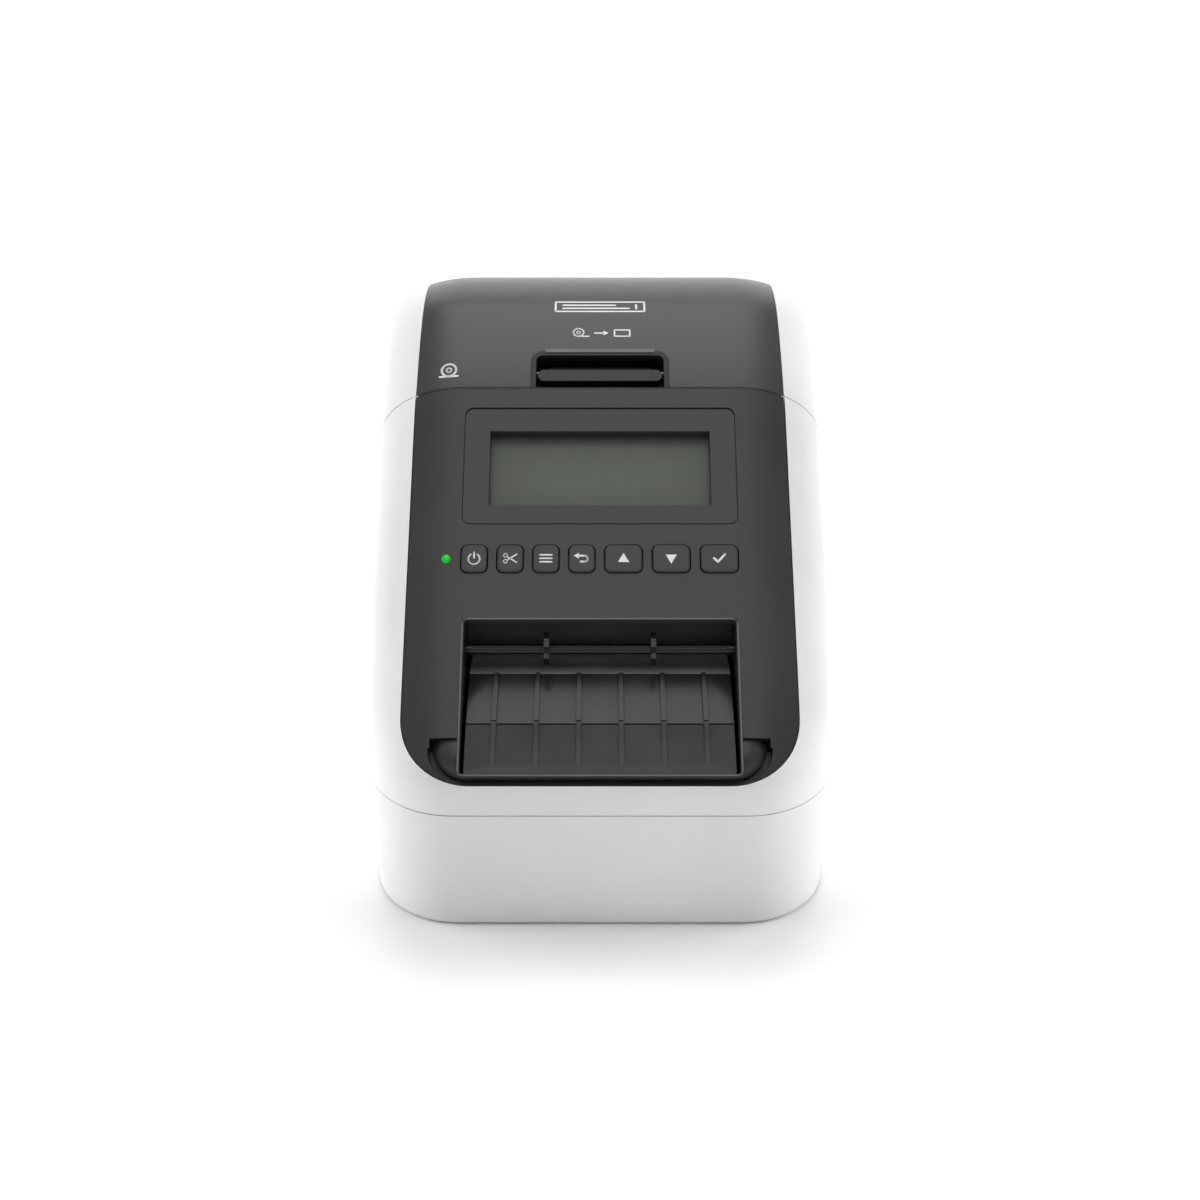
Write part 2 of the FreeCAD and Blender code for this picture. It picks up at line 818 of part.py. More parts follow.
# Print mechanism
def side_plate(x0, x1, with_motor):
    front_edge = [(chassis_front, chassis_low), (chassis_front, 66.0), (-74.0, chassis_high)]
    rear_edge = [(chassis_back, chassis_high), (chassis_back, chassis_low)]
    if with_motor:
        my, mz = pinion_spot
        rear_edge = [(chassis_back, chassis_high), (chassis_back + 4, 60.0), (my + 14, mz + 14),
                     (my + 14, mz - 14), (chassis_back, mz - 14)]
    return strip(x0, x1, front_edge + rear_edge)


def print_chassis():
    """Folded steel frame: a base, two side plates and a bar above the head."""
    thick = plate_thick
    shape = box(-plate_in, plate_in, chassis_front, chassis_back, chassis_low, chassis_low + thick)
    shape = shape.fuse(side_plate(plate_in, plate_in + thick, False))
    shape = shape.fuse(side_plate(-plate_in - thick, -plate_in, True))
    shape = shape.fuse(box(-plate_in, plate_in, head_pivot_y - 12, chassis_back,
                           chassis_high - bar_thick, chassis_high))
    shape = shape.cut(rod(-big, big, platen_y, platen_z, bush_radius))
    shape = shape.cut(rod(-big, big, head_pivot_y, head_pivot_z, head_shaft_radius + running))
    my, mz = pinion_spot
    shape = shape.cut(rod(-plate_in - 3, -plate_in + 1, my, mz, 4.0))
    iy, iz = idler_spot
    shape = shape.cut(rod(-plate_in - 3, -plate_in + 1, iy, iz, idler_axle_radius))
    window = box(-plate_in + 1, plate_in - 1, blade_y - 8, blade_y + 2.5,
                 chassis_low - 1, chassis_low + 3)
    return shape.cut(window)


def platen_bushes():
    x0, x1 = plate_in - 0.5, plate_in + plate_thick + 0.8
    ring = rod(x0, x1, platen_y, platen_z, bush_radius)
    return pair(ring.cut(rod(x0 - 1, x1 + 1, platen_y, platen_z, shaft_radius + running)))


def idler_axle():
    iy, iz = idler_spot
    return rod(-gear_in - gear_wide - 0.6, -plate_in, iy, iz, idler_axle_radius)


def feed_motor():
    my, mz = pinion_spot
    can = rod(-plate_in, -plate_in + feed_motor_long, my, mz, feed_motor_radius)
    boss = rod(-plate_in - plate_thick, -plate_in, my, mz, 4.0)
    hole = rod(-plate_in - 4, -plate_in + 4.2, my, mz, 1.2)
    return can.fuse(boss).cut(hole)


def motor_pinion():
    my, mz = pinion_spot
    shape = gear(pinion_teeth, gear_module, -gear_in - gear_wide, -gear_in, my, mz, 0, pinion_phase)
    return shape.fuse(rod(-gear_in, -plate_in + 4, my, mz, 1.2 - running))


def head_bracket():
    """Aluminium carrier that presses the thermal head on the platen."""
    low = path_z + head_gap + head_thick
    shape = box(-head_half, head_half, head_front, head_pivot_y, low, low + bracket_thick)
    for x in (-head_half, head_half - 3):
        ear = rod(x, x + 3, head_pivot_y, head_pivot_z, 3.2)
        ear = ear.fuse(box(x, x + 3, head_pivot_y - 3.2, head_pivot_y + 3.2, low, head_pivot_z))
        shape = shape.fuse(ear)
    return shape.cut(rod(-big, big, head_pivot_y, head_pivot_z, head_shaft_radius))


def thermal_head():
    low = path_z + head_gap
    shape = box(-head_half + 1, head_half - 1, head_front, head_pivot_y - 4, low, low + head_thick)
    line = rod(-roll_half, roll_half, platen_y, low + 0.9, 0.9)
    return shape.fuse(line)


def head_shaft():
    return rod(-plate_in - plate_thick - 0.8, plate_in + plate_thick + 0.8,
               head_pivot_y, head_pivot_z, head_shaft_radius)


def head_springs():
    """Two folded leaf springs between the chassis bar and the head bracket."""
    low = path_z + head_gap + head_thick + bracket_thick + 0.05
    high = chassis_high - bar_thick - 0.05
    y0, y1 = head_pivot_y - 11.0, head_pivot_y - 4.5
    t = spring_thick
    fold = [(y1, high), (y0, high), (y0, high - t), (y0 + 1.0, high - t), (y1, low + t + 1.4),
            (y0, low + t), (y0, low), (y1, low), (y1 + t, low + 0.6), (y1 + t, low + 1.8 + t),
            (y0 + 1.0 + 2 * t, high - t), (y1, high - t)]
    leaf = strip(spring_x - spring_wide / 2, spring_x + spring_wide / 2, fold)
    return pair(leaf)


def platen_shaft():
    return rod(-gear_in - gear_wide - 0.6, plate_in + plate_thick + 2, platen_y, platen_z,
               shaft_radius)


def platen_rubber():
    tube = rod(-platen_half, platen_half, platen_y, platen_z, platen_radius)
    return tube.cut(rod(-big, big, platen_y, platen_z, shaft_radius))


def platen_gear():
    return gear(platen_teeth, gear_module, -gear_in - gear_wide, -gear_in,
                platen_y, platen_z, shaft_radius, 0.0)


def idler_gear():
    iy, iz = idler_spot
    return gear(idler_teeth, gear_module, -gear_in - gear_wide, -gear_in, iy, iz,
                idler_axle_radius + running, idler_phase)


# Cutter
cutter_pitch = cutter_teeth * cutter_module / 2
rack_line_y = blade_y - blade_thick / 2 - 2.0
cutter_y = rack_line_y - cutter_pitch
rack_low = cutter_z - 5.0 - blade_travel
rack_tooth = math.pi * cutter_module


def moving_blade():
    """Blade with a toothed rack at its right end; it rises to cut."""
    edge = path_z - 0.6
    y0, y1 = blade_y - blade_thick / 2, blade_y + blade_thick / 2
    shape = box(-blade_half, blade_half, y0, y1, edge - blade_tall, edge)
    shape = shape.cut(strip(-big, big, [(y0 - 1, edge + 0.1), (y0 - 1, edge - 1.6),
                                        (y1 - 0.2, edge + 0.1)]))
    x0, x1 = rack_x0, rack_x0 + rack_wide
    back = rack_line_y + 1.2 * cutter_module
    shape = shape.fuse(box(x0, x1, back, y1, rack_low, edge - 2))
    shape = shape.fuse(box(x0 - 6, x1, y0, y1, rack_low, edge - 2))
    slant = math.tan(math.radians(pressure_angle))
    wide = rack_tooth / 4 - backlash / 2
    below = int((cutter_z - rack_low) / rack_tooth + 0.05)
    above = int((edge - 2 - cutter_z) / rack_tooth + 0.05)
    deep, tall = 1.2 * cutter_module, 0.9 * cutter_module
    for k in range(-below, above):
        z = cutter_z + (k + 0.5) * rack_tooth
        shape = shape.fuse(strip(x0, x1, [
            (rack_line_y + deep + 0.1, z - wide - deep * slant),
            (rack_line_y - tall, z - wide + tall * slant),
            (rack_line_y - tall, z + wide - tall * slant),
            (rack_line_y + deep + 0.1, z + wide + deep * slant)]))
    return shape


def cutter_pinion():
    x0, x1 = rack_x0 + 0.4, rack_x0 + rack_wide - 0.4
    shape = gear(cutter_teeth, cutter_module, x0, x1, cutter_y, cutter_z, 0, 0.0)
    return shape.fuse(rod(x0 - 4.4, x0, cutter_y, cutter_z, 1.0 - running))


def cutter_motor():
    x1 = rack_x0 - 0.2
    can = rod(x1 - cutter_motor_long, x1, cutter_y, cutter_z, cutter_motor_radius)
    return can.cut(rod(x1 - 4.2, x1 + 1, cutter_y, cutter_z, 1.0))


def fixed_blade():
    y0 = blade_y + blade_thick / 2 + blade_gap
    low = path_z + 1.2
    shape = box(-plate_in, plate_in, y0, y0 + 1.2, low, low + 9.0)
    return shape.cut(strip(-big, big, [
        (y0 + 0.3, low - 0.1), (y0 + 3, low - 0.1), (y0 + 3, low + 2.6)]))


# Label roll
def label_core():
    tube = rod(-roll_half, roll_half, roll_y, roll_z, core_radius)
    return tube.cut(rod(-big, big, roll_y, roll_z, core_bore))


def label_paper():
    tube = rod(-roll_half + 0.2, roll_half - 0.2, roll_y, roll_z, roll_radius)
    return tube.cut(rod(-big, big, roll_y, roll_z, core_radius))


def spool_arms():
    """Two end plates with hubs in the core and tabs that drop into the tub's slots."""
    x0 = roll_half + arm_gap
    x1 = x0 + arm_thick
    shape = rod(x0, x1, roll_y, roll_z, arm_radius)
    hub = rod(roll_half - 9, x0, roll_y, roll_z, core_bore - hub_gap)
    hub = hub.cut(rod(roll_half - 10, x0, roll_y, roll_z, core_bore - hub_gap - 2))
    shape = shape.fuse(hub).cut(rod(0, big, roll_y, roll_z, 5.0))
    tab = box(x0, arm_reach, roll_y - arm_tab / 2, roll_y + arm_tab / 2,
              roll_z - 18.0, roll_z - 6.0)
    return pair(shape.fuse(tab))


def roll_tub():
    """Trough for the roll, with a deck that closes the case below the cover."""
    y0, y1 = roll_y - tub_radius - tub_wall, roll_y + tub_radius + tub_wall
    low = roll_z - tub_radius - tub_wall
    top = cover_seam - 0.6
    block = box(-tub_half - tub_wall, tub_half + tub_wall, y0, y1, low, top)
    deck = box(-big, big, bulkhead_y + 0.2, big, top - deck_thick, top)
    deck = deck.common(case_body(wall + 0.4, foot_height + floor))
    deck = deck.cut(hinge_rod(hinge_relief + 0.4, -half, half))
    deck = deck.cut(box(-half, half, hinge_y - 3.2, rear, 0, big))
    shape = block.fuse(deck)
    shape = shape.fuse(box(-board_half - 4, board_half + 4, bulkhead_y, bulkhead_y + 2,
                           top - deck_thick, bulkhead_top))
    shape = shape.cut(rod(-tub_half, tub_half, roll_y, roll_z, tub_radius))
    shape = shape.cut(box(-tub_half, tub_half, roll_y - tub_radius, roll_y + tub_radius,
                          roll_z, big))
    # Slot that lets the label strip through to the print head
    shape = shape.cut(box(-roll_half - 2, roll_half + 2, y0 - 1, roll_y - 30,
                          path_z - 1.5, path_z + 3.5))
    for x, y in tub_post_places():
        leg = Part.makeCylinder(post_radius, low + 10, Vector(x, y, foot_height + floor))
        shape = shape.fuse(leg.cut(rod(-tub_half, tub_half, roll_y, roll_z, tub_radius)))
    for side in (-1, 1):
        x0, x1 = sorted((side * (tub_half - 3.0), side * (tub_half + 0.5)))
        guide = box(x0, x1, roll_y - 9, roll_y + 9, roll_z - 26, top)
        slot = box(x0 - 1, x1 + 1, roll_y - arm_tab / 2 - 0.3, roll_y + arm_tab / 2 + 0.3,
                   roll_z - 18.3, big)
        slot = slot.common(box(-tub_half + 0.5, tub_half - 0.5, -big, big, -big, big))
        shape = shape.fuse(guide).cut(slot)
    return shape


# Cover
def window_band(grow):
    return box(-panel_half - grow, panel_half + grow, -big, window_back + grow, -big, big)


def notch_block(grow, deep):
    side = notch_half + grow
    return on_slope(rounded(-side, side, 60, notch_top + grow, -deep, 60, notch_corner + grow))


def cover_window():
    """Smoke-tinted clear roof over the roll, with the finger notch at its front edge."""
    shape = layer(0, window_thick).common(cover_zone(seam_gap / 2)).common(window_band(0))
    return shape.cut(notch_block(0, 60))


def cover_shell(shell):
    """White sides and back of the cover, with a ledge under the window and hinge barrels."""
    zone = cover_zone(seam_gap / 2)
    shape = shell.common(zone).cut(window_band(0.15))
    ring = window_band(0.3).cut(window_band(-ledge))
    shape = shape.fuse(layer(window_thick + 0.05, window_thick + 1.6).common(zone).common(ring))
    barrel = hinge_rod(barrel_radius, -barrel_half, barrel_half)
    barrel = barrel.fuse(box(-barrel_half, barrel_half, hinge_y, rear, hinge_z,
                             hinge_z + barrel_radius))
    shape = shape.fuse(barrel.common(case_body(0, foot_height)))
    for sign in (-1, 1):
        x0, x1 = sorted((sign * (lug_x - lug_gap), sign * (lug_x + lug_wide + lug_gap)))
        shape = shape.cut(hinge_rod(barrel_radius + 0.4, x0, x1))
        shape = shape.cut(hinge_rod(hinge_pin_radius + running, x0 - pin_reach - 0.3,
                                    x1 + pin_reach + 0.3))
    return shape


def hinge_pins():
    x0, x1 = lug_x - pin_reach, lug_x + lug_wide + pin_reach
    return pair(hinge_rod(hinge_pin_radius, x0, x1))


def latch_tray():
    """Dark pocket under the finger notch that carries the release lever."""
    low_s = lever_s - 3.4
    outer = notch_block(-0.05, tray_depth + tray_wall)
    outer = outer.common(on_slope(box(-big, big, low_s, big, -big, big)))
    room = notch_block(-tray_wall, tray_depth)
    shape = outer.cut(room).common(case_body(0, foot_height))
    shape = shape.common(cover_zone(seam_gap / 2))
    return shape.cut(lever_rod(lever_pin_radius, notch_half + 3))


def lever_rod(radius, reach):
    """Cylinder on the lever's axis, reaching equally to both sides."""
    y, z = slope_point(lever_pin_s, lever_pin_depth)
    return rod(-reach, reach, y, z, radius)


def release_lever():
    """Finger bar that turns on a pin across the tray."""
    side = lever_half
    low = -lever_top - lever_thick
    bar = on_slope(rounded(-side, side, lever_s, lever_s + lever_tall, low, -lever_top, 1.7))
    link = on_slope(box(-side + 3, side - 3, lever_s + 1.5, lever_pin_s, low - 1.0, low + 1.0))
    shape = bar.fuse(link).fuse(lever_rod(lever_pin_radius + 1.0, side - 3))
    return shape.cut(lever_rod(lever_pin_radius + running, side + 1))


def lever_pin():
    return lever_rod(lever_pin_radius, notch_half - 0.2)


# Electronics and base
def main_board():
    shape = box(-main_half, main_half, main_front, main_rear, board_z, board_z + 1.6)
    chips = [(-20, 30, 14, 2.2), (12, 44, 10, 1.8), (30, -20, 12, 2.0), (-30, -36, 9, 3.0)]
    for x, y, size, tall in chips:
        shape = shape.fuse(box(x - size / 2, x + size / 2, y - size / 2, y + size / 2,
                               board_z + 1.5, board_z + 1.6 + tall))
    for x, y in post_places() + tub_post_places():
        hole = Part.makeCylinder(post_radius + 0.5, big, Vector(x, y, 0))
        shape = shape.cut(hole)
    for x, y in ((-36, 60), (-36, 74), (-26, 82)):
        shape = shape.fuse(Part.makeCylinder(4.0, 11.0, Vector(x, y, board_z + 1.5)))
    return shape


def socket(x, wide, tall, hole_wide, hole_tall, tongue):
    """Metal-cased socket on the main board, open to the rear."""
    z0 = board_z + 1.6
    deep = 14.0
    y1 = rear - 0.6
    shape = box(x - wide / 2, x + wide / 2, y1 - deep, y1, z0, z0 + tall)
    zc = z0 + tall / 2
    shape = shape.cut(box(x - hole_wide / 2, x + hole_wide / 2, y1 - deep + 2, y1 + 1,
                          zc - hole_tall / 2, zc + hole_tall / 2))
    if tongue:
        tw, tt = tongue
        shape = shape.fuse(box(x - tw / 2, x + tw / 2, y1 - deep + 1, y1 - 3,
                               zc - tt / 2, zc + tt / 2))
    return shape


def power_inlet():
    z0 = board_z + 1.6
    y1 = rear - 0.6
    zc = z0 + (inlet_tall - 0.4) / 2
    wide, tall = inlet_wide - 0.4, inlet_tall - 0.4
    shape = box(inlet_x - wide / 2, inlet_x + wide / 2, y1 - 14, y1, z0, z0 + tall)
    axis = Vector(0, 1, 0)
    shape = shape.cut(Part.makeCylinder(inlet_bore, 12, Vector(inlet_x, y1 - 10, zc), axis))
    return shape.fuse(Part.makeCylinder(1.0, 10, Vector(inlet_x, y1 - 11, zc), axis))


def rubber_feet():
    feet = []
    for x in (-foot_x, foot_x):
        for y in (-foot_y, foot_y):
            feet.append(Part.makeCone(foot_radius - 0.4, foot_radius, foot_height, Vector(x, y, 0)))
    return Part.makeCompound(feet)


def case_screws():
    screws = []
    for x, y in screw_places():
        z0 = foot_height + screw_sink
        head = Part.makeCylinder(screw_head - 0.2, 1.6, Vector(x, y, z0 - 1.6))
        head = head.cut(box(x - 0.4, x + 0.4, y - 2, y + 2, z0 - 2, z0 - 0.9))
        head = head.cut(box(x - 2, x + 2, y - 0.4, y + 0.4, z0 - 2, z0 - 0.9))
        shank = Part.makeCylinder(screw_radius, boss_top + 8 - z0, Vector(x, y, z0))
        screws.append(head.fuse(shank))
    return Part.makeCompound(screws)


def rating_plate():
    """Blank plate on the underside."""
    return rounded(-28, 28, 30, 62, foot_height - 0.3, foot_height, 2.0)


def save(name, shape):
    if not shape.isValid():
        print("not valid:", name)
    shape.removeSplitter().exportStep("parts/" + name + ".step")
    print(name, len(shape.Solids), round(shape.Volume / 1000, 2), "cm3")


def main():
    os.makedirs("parts", exist_ok=True)
    shell = hollow_case()
    save("lower_housing", lower_housing(shell))
    save("upper_housing", upper_housing(shell))
    save("cover_shell", cover_shell(shell))
    for name, (x, wide) in buttons.items():
        save("button_" + name, button(x, wide))
    sockets = {
        "usb_port": (usb_x, usb_wide - 0.4, usb_tall - 0.4, 8.6, 7.6, (5.6, 3.0)),
        "network_port": (lan_x, lan_wide - 0.4, lan_tall - 0.4, 11.8, 8.0, None),
    }
    for name, sizes in sockets.items():
        save(name, socket(*sizes))
    makers = [
        front_panel, display_bezel, key_mat, panel_board, status_lamp, display_lens, display_module,
        outlet_chute, outlet_box, exit_guide_bar, guide_rings, print_chassis, platen_bushes,
        idler_axle, feed_motor, motor_pinion, head_bracket, thermal_head, head_shaft,
        head_springs, platen_shaft, platen_rubber, platen_gear, idler_gear, moving_blade,
        cutter_pinion, cutter_motor, fixed_blade, label_core, label_paper, spool_arms,
        roll_tub, cover_window, hinge_pins, latch_tray, release_lever, lever_pin, main_board,
        power_inlet, rubber_feet, case_screws, rating_plate,
    ]
    for make in makers:
        save(make.__name__, make())


main()
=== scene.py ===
import json
import math
import bpy
from mathutils import Matrix, Vector


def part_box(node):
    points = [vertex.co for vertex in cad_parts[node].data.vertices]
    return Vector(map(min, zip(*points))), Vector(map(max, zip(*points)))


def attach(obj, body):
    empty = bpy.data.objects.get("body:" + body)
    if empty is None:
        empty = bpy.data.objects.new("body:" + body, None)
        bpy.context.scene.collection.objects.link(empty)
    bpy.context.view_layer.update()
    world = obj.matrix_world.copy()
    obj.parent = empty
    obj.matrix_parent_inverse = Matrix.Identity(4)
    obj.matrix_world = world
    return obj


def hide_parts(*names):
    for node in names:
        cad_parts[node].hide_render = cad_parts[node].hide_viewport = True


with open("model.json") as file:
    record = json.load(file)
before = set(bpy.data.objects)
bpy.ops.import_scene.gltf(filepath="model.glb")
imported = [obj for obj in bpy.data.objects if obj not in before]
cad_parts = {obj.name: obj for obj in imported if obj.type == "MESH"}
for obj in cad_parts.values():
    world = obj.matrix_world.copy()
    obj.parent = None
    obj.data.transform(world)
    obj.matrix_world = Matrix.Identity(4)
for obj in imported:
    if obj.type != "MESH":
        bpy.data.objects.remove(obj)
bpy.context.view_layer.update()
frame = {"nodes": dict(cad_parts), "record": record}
record = frame["record"]
nodeBody = {n: body for body, names in record["behaviour"]["bodies"].items() for n in names}
nodeSlot = {part["node"]: part["material_slot"] for part in record["subparts"]}
mm = 0.001
print("frame loaded:", len(frame["nodes"]), "pieces")

# the front slope of the case: its own directions, and where things sit along it
slopeUp = (0.0, math.sqrt(0.5), math.sqrt(0.5))
slopeOut = (0.0, -math.sqrt(0.5), math.sqrt(0.5))


def reach(name, direction):
    # least and greatest distance of a CAD piece along a direction
    values = [Vector(direction).dot(v.co) for v in frame["nodes"][name].data.vertices]
    return min(values), max(values)


lensLow, lensHigh = reach("display_lens", slopeUp)
windowSpan = {"low": lensLow, "high": lensHigh, "half": reach("display_lens", (1, 0, 0))[1]}


def linear(hexText):
    # sRGB hex to the linear colour that shaders take
    parts = [int(hexText[i:i + 2], 16) / 255 for i in (0, 2, 4)]
    return [c / 12.92 if c <= 0.04045 else ((c + 0.055) / 1.055) ** 2.4 for c in parts] + [1.0]


def addNode(tree, kind, settings=None, links=None):
    # settings are input values or node properties, links are input name -> (node, output name)
    node = tree.nodes.new(kind)
    for key, value in (settings or {}).items():
        if isinstance(key, str) and hasattr(node, key):
            setattr(node, key, value)
        else:
            node.inputs[key].default_value = value
    for key, (source, output) in (links or {}).items():
        tree.links.new(source.outputs[output], node.inputs[key])
    return node


def startMaterial(name, settings):
    material = bpy.data.materials.new(name)
    material.use_nodes = True
    tree = material.node_tree
    tree.nodes.clear()
    shader = addNode(tree, "ShaderNodeBsdfPrincipled", settings)
    addNode(tree, "ShaderNodeOutputMaterial", links={"Surface": (shader, "BSDF")})
    return material, tree, shader


def spread(tree, texture, output, low, high):
    # a texture's value stretched to a range of roughness or mix
    return addNode(tree, "ShaderNodeMapRange",
                   {"From Min": 0.3, "From Max": 0.7, "To Min": low, "To Max": high},
                   {"Value": (texture, output)})


def tintPair(tree, factor, output, first, second):
    ramp = addNode(tree, "ShaderNodeValToRGB", links={"Fac": (factor, output)})
    ramp.color_ramp.elements[0].color = linear(first)
    ramp.color_ramp.elements[1].color = linear(second)
    return ramp


def mouldedPlastic(name, look):
    # plastic from a spark-eroded mould: a fine even grain, with slow drifts of tone and gloss
    material, tree, shader = startMaterial(name, {
        "IOR": look["ior"], "Alpha": look.get("alpha", 1.0)})
    place = addNode(tree, "ShaderNodeTexCoord")
    grain = addNode(tree, "ShaderNodeTexNoise",
                    {"Scale": 1 / (look["grainMm"] * mm), "Detail": 3.0, "Roughness": 0.6},
                    {"Vector": (place, "Object")})
    drift = addNode(tree, "ShaderNodeTexNoise",
                    {"Scale": 1 / (look["driftMm"] * mm), "Detail": 2.0},
                    {"Vector": (place, "Object")})
    tone = tintPair(tree, drift, "Fac", look["dark"], look["light"])
    tone.color_ramp.elements[0].position = 0.35
    tone.color_ramp.elements[1].position = 0.65
    tree.links.new(tone.outputs["Color"], shader.inputs["Base Color"])
    gloss = spread(tree, drift, "Fac",
                   look["rough"] - look["roughSpan"], look["rough"] + look["roughSpan"])
    tree.links.new(gloss.outputs["Result"], shader.inputs["Roughness"])
    bump = addNode(tree, "ShaderNodeBump",
                   {"Strength": look["bump"], "Distance": look["grainMm"] * mm * 0.3},
                   {"Height": (grain, "Fac")})
    tree.links.new(bump.outputs["Normal"], shader.inputs["Normal"])
    return material


def metalSheet(name, look):
    # metal with grinding or rolling lines along one axis
    material, tree, shader = startMaterial(name, {"Metallic": 1.0})
    place = addNode(tree, "ShaderNodeTexCoord")
    stretch = addNode(tree, "ShaderNodeMapping",
                      {"Scale": look["stretch"]}, {"Vector": (place, "Object")})
    lines = addNode(tree, "ShaderNodeTexNoise",
                    {"Scale": 1 / (look["lineMm"] * mm), "Detail": 4.0},
                    {"Vector": (stretch, "Vector")})
    tone = tintPair(tree, lines, "Fac", look["dark"], look["light"])
    tree.links.new(tone.outputs["Color"], shader.inputs["Base Color"])
    gloss = spread(tree, lines, "Fac", look["rough"] - 0.06, look["rough"] + 0.08)
    tree.links.new(gloss.outputs["Result"], shader.inputs["Roughness"])
    bump = addNode(tree, "ShaderNodeBump",
                   {"Strength": 0.12, "Distance": 0.05 * mm}, {"Height": (lines, "Fac")})
    tree.links.new(bump.outputs["Normal"], shader.inputs["Normal"])
    return material


plasticLooks = {
    # ABS, injection moulded, satin grain: bright, softly shaded white
    "whiteAbs": {"dark": "ececec", "light": "f4f4f4", "rough": 0.44, "roughSpan": 0.03, "ior": 1.53,
                 "grainMm": 0.5, "driftMm": 60, "bump": 0.06},
    # ABS in charcoal, satin grain: wide soft highlight
    "charcoalAbs": {"dark": "343435", "light": "38383a", "rough": 0.40, "roughSpan": 0.04,
                    "ior": 1.53,
                    "grainMm": 0.45, "driftMm": 40, "bump": 0.10},
    # same ABS on the keys, slightly darker
    "keyAbs": {"dark": "303031", "light": "353536", "rough": 0.36, "roughSpan": 0.03, "ior": 1.53,
               "grainMm": 0.4, "driftMm": 12, "bump": 0.06},
    # ABS in black for the inside of the outlet and latch
    "blackAbs": {"dark": "161617", "light": "1b1b1c", "rough": 0.42, "roughSpan": 0.05, "ior": 1.53,
                 "grainMm": 0.5, "driftMm": 20, "bump": 0.10},
    # acetal, polished mould: the label chute, dark with a soft sheen
    "polishedAcetal": {"dark": "2c2c2d", "light": "313132", "rough": 0.24, "roughSpan": 0.04,
                       "ior": 1.48,
                       "grainMm": 0.6, "driftMm": 18, "bump": 0.03},
    # acetal from a mirror mould: guide bar and rings, near black with sharp highlights
    "mirrorAcetal": {"dark": "19191a", "light": "1e1e1f", "rough": 0.12, "roughSpan": 0.02,
                     "ior": 1.5,
                     "grainMm": 2.0, "driftMm": 18, "bump": 0.006},
    # pale matt acetal on the label shelf: its paler colour is painted light, brightening the shelf behind
    # the ramp
    "paintedShelfLight": {"dark": "9c9c9d", "light": "a8a8a9", "rough": 0.6, "roughSpan": 0.04,
                   "ior": 1.48,
                   "grainMm": 0.4, "driftMm": 10, "bump": 0.05},
    # smoke tinted polycarbonate, polished: reads as dark glass with a hint of what is inside
    "smokePolycarbonate": {"dark": "434344", "light": "48484a", "rough": 0.28, "roughSpan": 0.03,
                           "ior": 1.58, "grainMm": 3.0, "driftMm": 60, "bump": 0.01, "alpha": 0.88},
    # paler grey painted on thin edges as their highlight: the smoked cover's notch edge and the line
    # round the outlet
    "paleEdgeHighlight": {"dark": "5c5c5d", "light": "646465", "rough": 0.3, "roughSpan": 0.03,
                          "ior": 1.58, "grainMm": 2.0, "driftMm": 20, "bump": 0.01},
    # natural acetal gears: waxy, off-white
    "naturalAcetal": {"dark": "d6d0c0", "light": "e2dccd", "rough": 0.38, "roughSpan": 0.05,
                      "ior": 1.48,
                      "grainMm": 0.4, "driftMm": 6, "bump": 0.04},
    # silicone rubber key mat
    "siliconeRubber": {"dark": "3a3a3b", "light": "424244", "rough": 0.62, "roughSpan": 0.05,
                       "ior": 1.41,
                       "grainMm": 0.3, "driftMm": 10, "bump": 0.08},
    # ground rubber on the platen: matt, faint grinding
    "groundRubber": {"dark": "262627", "light": "2f2f30", "rough": 0.75, "roughSpan": 0.05,
                     "ior": 1.5,
                     "grainMm": 0.25, "driftMm": 8, "bump": 0.25},
    # moulded rubber feet
    "footRubber": {"dark": "1f1f20", "light": "272728", "rough": 0.7, "roughSpan": 0.06, "ior": 1.5,
                   "grainMm": 0.5, "driftMm": 5, "bump": 0.2},
    # fibreglass board under green solder resist
    "greenSolderResist": {"dark": "0f4a26", "light": "15592f", "rough": 0.30, "roughSpan": 0.06,
                          "ior": 1.52, "grainMm": 1.2, "driftMm": 4, "bump": 0.05},
    # coated thermal paper, wound
    "coatedPaper": {"dark": "ecebe6", "light": "f5f4f0", "rough": 0.55, "roughSpan": 0.04,
                    "ior": 1.5,
                    "grainMm": 0.3, "driftMm": 14, "bump": 0.05},
    # wound card core
    "woundCard": {"dark": "9c7d58", "light": "b08f67", "rough": 0.8, "roughSpan": 0.05, "ior": 1.5,
                  "grainMm": 0.5, "driftMm": 5, "bump": 0.3},
    # glazed alumina of the thermal head
    "glazedAlumina": {"dark": "cfcabb", "light": "ddd8ca", "rough": 0.18, "roughSpan": 0.04,
                      "ior": 1.76,
                      "grainMm": 0.4, "driftMm": 6, "bump": 0.02},
    # screen-printed white ink
    "whiteInk": {"dark": "f2f2f2", "light": "fafafa", "rough": 0.5, "roughSpan": 0.03, "ior": 1.5,
                 "grainMm": 0.2, "driftMm": 5, "bump": 0.03},
}

metalLooks = {
    # zinc plated sheet steel, rolling lines
    "zincSheet": {"dark": "a8abad", "light": "c2c5c7", "rough": 0.36, "lineMm": 1.5,
                  "stretch": (0.1, 1, 1)},
    # ground steel for shafts and blades
    "groundSteel": {"dark": "b0b1b3", "light": "cfd0d2", "rough": 0.24, "lineMm": 0.8,
                    "stretch": (1, 0.1, 1)},
    # milled aluminium
    "milledAluminium": {"dark": "bfc1c4", "light": "d6d8da", "rough": 0.30, "lineMm": 1.0,
                        "stretch": (1, 0.1, 1)},
    # sintered bronze bushes
    "sinteredBronze": {"dark": "9c7440", "light": "b88c52", "rough": 0.45, "lineMm": 0.6,
                       "stretch": (1, 1, 1)},
    # printed foil plate on the base
    "satinFoil": {"dark": "b9bbbd", "light": "cfd1d3", "rough": 0.42, "lineMm": 1.2,
                  "stretch": (0.1, 1, 1)},
}

